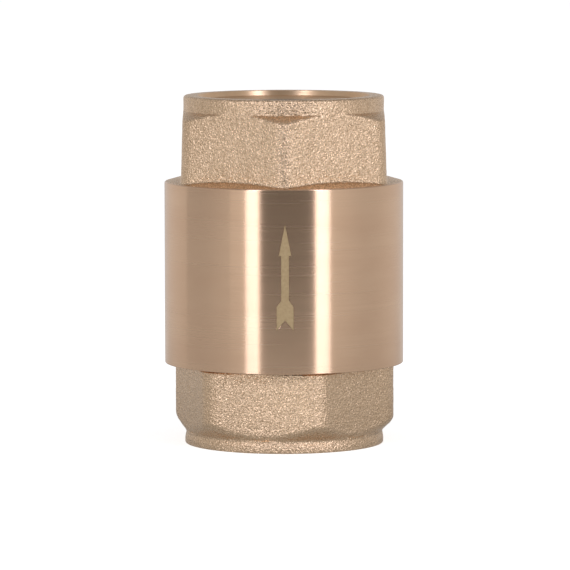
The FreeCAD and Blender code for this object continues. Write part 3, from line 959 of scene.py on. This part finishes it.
# roundings of the inner pieces' edges
RIM_ROUND = 0.3
FOOT_ROUND = 0.25
CONE_ROUND = 0.2
TIP_ROUND = 0.15
EDGE_ROUND = 0.12
THIN_ROUND = 0.1
SHOULDER_ROUND = 0.08
RETAINER_ROUND = 0.35


def valve_disc():
    """The turned plate with a lip round the gasket and a boss that stops on the guide."""
    low, high, outer = reach("valve_disc")
    under = low + DISC_LIP
    top = under + DISC_THICKNESS
    corners = [
        (CLAMP_BORE, under, THIN_ROUND),
        (DISC_RECESS, under, 0),
        (DISC_RECESS, low, EDGE_ROUND),
        (outer, low, EDGE_ROUND),
        (outer, top, RIM_ROUND),
        (DISC_SPIGOT, top, FOOT_ROUND),
        (DISC_SPIGOT, top + DISC_SPIGOT_RISE, EDGE_ROUND),
        (DISC_BOSS, top + DISC_BOSS_RISE, CONE_ROUND),
        (DISC_BOSS, high, FOOT_ROUND),
        (CLAMP_BORE, high, EDGE_ROUND),
    ]
    turned_piece("valve_disc", corners, CLOSURE, trim)


def disc_gasket():
    """The rubber washer that closes on the seat."""
    low, high, outer = reach("disc_gasket")
    corners = [
        (GASKET_BORE, low, THIN_ROUND),
        (outer, low, FOOT_ROUND),
        (outer, high, THIN_ROUND),
        (GASKET_BORE, high, THIN_ROUND),
    ]
    turned_piece("disc_gasket", corners, CLOSURE, rubber)


def gasket_retainer():
    """The brass washer under the gasket, rounded where the water meets it."""
    low, high, outer = reach("gasket_retainer")
    corners = [
        (CLAMP_BORE, low, EDGE_ROUND),
        (outer, low, RETAINER_ROUND),
        (outer, high, THIN_ROUND),
        (CLAMP_BORE, high, THIN_ROUND),
    ]
    turned_piece("gasket_retainer", corners, CLOSURE, trim)


def stem_thread(turn, height):
    """The M4 thread under the stem's shoulder."""
    return STEM_MAJOR - STEM_DEPTH * groove(turn, height, STEM_PITCH, STEM_GROOVE)


def valve_stem():
    """Slim tail, threaded middle and thick guided top, each end chamfered."""
    low, high, outer = reach("valve_stem")
    thread_low = reach("stem_nut")[0]
    shoulder_height = reach("valve_disc")[1]
    tail = turned(
        [
            (0, low, 0),
            (TAIL_TIP, low, EDGE_ROUND),
            (TAIL_RADIUS, low + STEM_CHAMFER, EDGE_ROUND),
            (TAIL_RADIUS, thread_low, 0),
            (outer, thread_low, 0),
        ],
        AROUND_SMALL,
    )[1:-1]
    ends = (thread_low + STEM_THREAD_GAP, shoulder_height - STEM_THREAD_GAP)
    thread = shaped(spaced(*ends, STEM_STEP), stem_thread, AROUND_SMALL)
    top = turned(
        [
            (STEM_NECK, shoulder_height, 0),
            (outer, shoulder_height, SHOULDER_ROUND),
            (outer, high - STEM_CHAMFER, TIP_ROUND),
            (outer - STEM_CHAMFER, high, TIP_ROUND),
            (0, high, 0),
        ],
        AROUND_SMALL,
    )[:-1]
    mesh = loft("valve_stem", [(tail, 0), (thread, 0), (top, 0)], joined=False)
    piece("valve_stem", mesh, CLOSURE, [steel])


def stem_nut():
    """A thin hexagon nut, chamfered on both faces, its bore threaded M4."""
    low, high, _ = reach("stem_nut")

    def outside(turn, height):
        side = hexagon(turn, NUT_FLATS, 0, NUT_ROUND)
        inward = min(height - low, high - height)
        cone = NUT_FLATS / 2 - NUT_FACE_INSET + inward / math.tan(NUT_CHAMFER)
        return soft_min(side, cone, NUT_BLEND)

    def bore(turn, height):
        crest = 1 - groove(turn, height, STEM_PITCH, STEM_GROOVE)
        return STEM_MAJOR - NUT_DEPTH * crest

    bands = [
        (shaped(spaced(low, high, NUT_STEP), outside, AROUND_SMALL), 0),
        (shaped(spaced(high, low, STEM_STEP), bore, AROUND_SMALL), 0),
    ]
    mesh = loft("stem_nut", bands)
    piece("stem_nut", mesh, CLOSURE, [steel])


# --- spring ------------------------------------------------------------------------------

WIRE_RADIUS = 0.35
WIRE_SIDES = 14
SPRING_TURNS = 8.0
STEPS_PER_TURN = 56
CLOSED_RISE = 2 * WIRE_RADIUS * 1.03  # a closed turn's rise, a little over the wire's thickness
GROUND_DEPTH = WIRE_RADIUS * 0.45  # from the coil's ground ends to its first and last centre


def spring_height(turns, length):
    """The wire's rise: one closed turn at each end and an even pitch between them."""
    middle = length - 2 * CLOSED_RISE
    places = (0, 1, SPRING_TURNS - 1, SPRING_TURNS)
    return float(np.interp(turns, places, (0, CLOSED_RISE, CLOSED_RISE + middle, length)))


def closing_spring():
    """The coil between guide and disc, its ends closed and ground flat."""
    low, high, outer = reach("closing_spring")
    coil_radius = outer - WIRE_RADIUS
    start = low + GROUND_DEPTH
    length = high - GROUND_DEPTH - start
    side = angles(WIRE_SIDES)[:, None]
    rows = []
    for turns in np.linspace(0, SPRING_TURNS, int(SPRING_TURNS * STEPS_PER_TURN) + 1):
        angle = turns * TURN
        outward = np.array((math.cos(angle), math.sin(angle), 0))
        centre = outward * coil_radius + (0, 0, start + spring_height(turns, length))
        rows.append(centre + WIRE_RADIUS * (np.cos(side) * outward + np.sin(side) * (0, 0, 1)))
    rings = np.array(rows)
    rings[:, :, 2] = np.clip(rings[:, :, 2], low, high)
    mesh = loft("closing_spring", [(rings[:, ::-1], 0)], joined=False)
    made = piece("closing_spring", mesh, HOUSING, [wire_steel])
    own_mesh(made)


# --- studio ------------------------------------------------------------------------------

# the set is in metres, and its azimuths are in degrees: 0 is where the camera stands, growing
# towards +X
FLOOR_HALF = 6
FLOOR_GLOW = 0.64
PALE = (0.88, 0.88, 0.88)
DARK = (0.02, 0.02, 0.02)
CARD_HEIGHT = 0.001
CARD_ROUGHNESS = 0.9
GAP = (-22, 29)  # azimuths of the dark stretch between the strip lights
GAP_NEAR = 0.02
GAP_DARK = 0.08  # the distance at which the stretch turns from pale to dark
GAP_FAR = 1.15
WALL_TOP = 0.6
DARK_GLOW = 0.07
PALE_GLOW = 0.75
UNDER_GLOW = 0.36
UNDER_HALF = 0.07
VEIL = (-52, -105.6)  # azimuths of the veil's edges
VEIL_NEAR = 0.22
VEIL_FAR = 2.0
VEIL_COVER = 0.6

STRIP_DISTANCE = 1.1
STRIP_HEIGHT = 1.3
STRIP_COLOR = (0.95, 0.965, 1.13)
AIR_COLOR = (1.0, 0.99, 0.985)


def on_stage(name, corners, color, glow=0.0, cover=1.0):
    """A flat card of the set; one that covers less than 1 lets light through."""
    mesh = bpy.data.meshes.new(name)
    mesh.from_pydata(corners, [], [(0, 1, 2, 3)])
    card = bpy.data.objects.new(name, mesh)
    bpy.context.scene.collection.objects.link(card)
    paint = Finish(f"{name}_paint", color, 0.0, CARD_ROUGHNESS)
    paint.set("Emission Color", (1, 1, 1, 1))
    paint.set("Emission Strength", glow)
    paint.set("Specular IOR Level", 0.0)
    paint.set("Alpha", cover)
    mesh.materials.append(paint.material)
    return card


def strip_light(name, azimuth, width, power):
    """An upright soft light that stands on the floor."""
    light = bpy.data.lights.new(name, "AREA")
    light.shape = "RECTANGLE"
    light.size = width
    light.size_y = STRIP_HEIGHT
    light.energy = power
    light.color = STRIP_COLOR
    holder = bpy.data.objects.new(name, light)
    bpy.context.scene.collection.objects.link(holder)
    angle = math.radians(azimuth)
    back = Vector((math.sin(angle), -math.cos(angle), 0))
    holder.location = back * STRIP_DISTANCE + Vector((0, 0, STRIP_HEIGHT / 2))
    holder.rotation_euler = back.to_track_quat("Z", "Y").to_euler()


def studio_air():
    """Light from all round: brightest at eye level, dimmer to the sides, above and below."""
    world = bpy.data.worlds.new("studio_air")
    world.use_nodes = True
    tree = world.node_tree
    air = tree.nodes["Background"]
    air.inputs["Color"].default_value = (*AIR_COLOR, 1)
    where = tree.nodes.new("ShaderNodeTexCoord")
    parts = tree.nodes.new("ShaderNodeSeparateXYZ")
    tree.links.new(where.outputs["Generated"], parts.inputs["Vector"])

    def maths(operation, *inputs):
        """One step of arithmetic on numbers and on other nodes' outputs."""
        made = tree.nodes.new("ShaderNodeMath")
        made.operation = operation
        for socket, value in zip(made.inputs, inputs):
            if isinstance(value, bpy.types.NodeSocket):
                tree.links.new(value, socket)
            else:
                socket.default_value = value
        return made.outputs["Value"]

    def falloff(axis, power, end, low, high, size="ABSOLUTE"):
        """From high where the direction is square to an axis, down to low along it.

        It is down to low where the direction's share along the axis, raised to the power, comes
        to the end. MAXIMUM in place of ABSOLUTE falls off along the axis one way only."""
        scaled = tree.nodes.new("ShaderNodeMapRange")
        scaled.inputs["From Max"].default_value = end
        scaled.inputs["To Min"].default_value = high
        scaled.inputs["To Max"].default_value = low
        along = maths(size, parts.outputs[axis], 0)
        tree.links.new(maths("POWER", along, power), scaled.inputs["Value"])
        return scaled.outputs["Result"]

    sides = falloff("X", power=4, end=1.0, low=0.6, high=0.96)
    back = falloff("Y", power=1.5, end=1.0, low=0.65, high=1.0, size="MAXIMUM")
    steep = falloff("Z", power=2, end=0.45, low=0.36, high=0.95)
    strength = maths("MULTIPLY", maths("MULTIPLY", sides, back), steep)
    tree.links.new(strength, air.inputs["Strength"])
    bpy.context.scene.world = world


def square(half):
    """The corners of a square on the floor round the valve."""
    return [(-half, -half, 0), (half, -half, 0), (half, half, 0), (-half, half, 0)]


def studio():
    """A pale floor, a soft upright light each side of the camera, and what the brass mirrors.

    Between the lights it mirrors a dark gap, pale close to the valve, and on the left a veil
    that dims what lies low there. The camera doesn't see these cards, and they cast no shade."""
    floor = on_stage("floor", square(FLOOR_HALF), PALE, glow=FLOOR_GLOW)
    floor.visible_glossy = False
    left, right = (math.tan(math.radians(azimuth)) for azimuth in GAP)

    def wedge(near, far):
        """A flat card on the floor that fills the gap from one distance to another."""
        return [
            (left * near, -near, CARD_HEIGHT),
            (right * near, -near, CARD_HEIGHT),
            (right * far, -far, CARD_HEIGHT),
            (left * far, -far, CARD_HEIGHT),
        ]

    def at(azimuth, distance):
        """A place just above the floor."""
        angle = math.radians(azimuth)
        return distance * math.sin(angle), -distance * math.cos(angle), CARD_HEIGHT

    wall = [
        (left * GAP_FAR, -GAP_FAR, 0),
        (right * GAP_FAR, -GAP_FAR, 0),
        (right * GAP_FAR, -GAP_FAR, WALL_TOP),
        (left * GAP_FAR, -GAP_FAR, WALL_TOP),
    ]
    start, end = VEIL
    veil = [at(start, VEIL_NEAR), at(start, VEIL_FAR), at(end, VEIL_FAR), at(end, VEIL_NEAR)]
    cards = [
        on_stage("dark_card", wedge(GAP_DARK, GAP_FAR), DARK, glow=DARK_GLOW),
        on_stage("dark_wall", wall, DARK, glow=DARK_GLOW),
        on_stage("pale_card", wedge(GAP_NEAR, GAP_DARK), DARK, glow=PALE_GLOW),
        on_stage("under_card", square(UNDER_HALF), DARK, glow=UNDER_GLOW),
        on_stage("left_veil", veil, DARK, cover=VEIL_COVER),
    ]
    for card in cards:
        card.visible_camera = False
        card.visible_diffuse = False
        card.visible_shadow = False
    strip_light("left_strip", azimuth=-30.6, width=0.24, power=3.3)
    strip_light("right_strip", azimuth=37.7, width=0.27, power=4.0)
    studio_air()
    bpy.context.scene.view_settings.view_transform = "Standard"


CAMERA_DISTANCE = 0.64
CAMERA_LENS = 285.0
CAMERA_SENSOR = 36
CAMERA_CLIP = (0.05, 50)
CAMERA_ELEVATION = math.radians(5.5)
CAMERA_ROLL = math.radians(-0.1)
# the camera looks a little beside and below the valve's centre, in millimetres
AIM_SIDE = 0.14
AIM_DROP = 2.34


def camera():
    """A long lens a little above the valve, looking slightly down at its front."""
    lens = bpy.data.cameras.new("camera")
    lens.lens = CAMERA_LENS
    lens.sensor_width = CAMERA_SENSOR
    lens.clip_start, lens.clip_end = CAMERA_CLIP
    holder = bpy.data.objects.new("camera", lens)
    bpy.context.scene.collection.objects.link(holder)
    back = Vector((0, -math.cos(CAMERA_ELEVATION), math.sin(CAMERA_ELEVATION)))
    aim = Vector((AIM_SIDE, 0, OUTLET_TOP / 2 - AIM_DROP)) * MM
    holder.location = aim + back * CAMERA_DISTANCE
    holder.rotation_mode = "QUATERNION"
    roll = Quaternion((0, 0, 1), CAMERA_ROLL)
    holder.rotation_quaternion = (-back).to_track_quat("-Z", "Y") @ roll
    bpy.context.scene.camera = holder


outlet_body()
inlet_adapter()
body_seal_ring()
upper_stem_guide()
lower_stem_guide()
guide_snap_ring()
valve_disc()
disc_gasket()
gasket_retainer()
valve_stem()
stem_nut()
closing_spring()
studio()
camera()
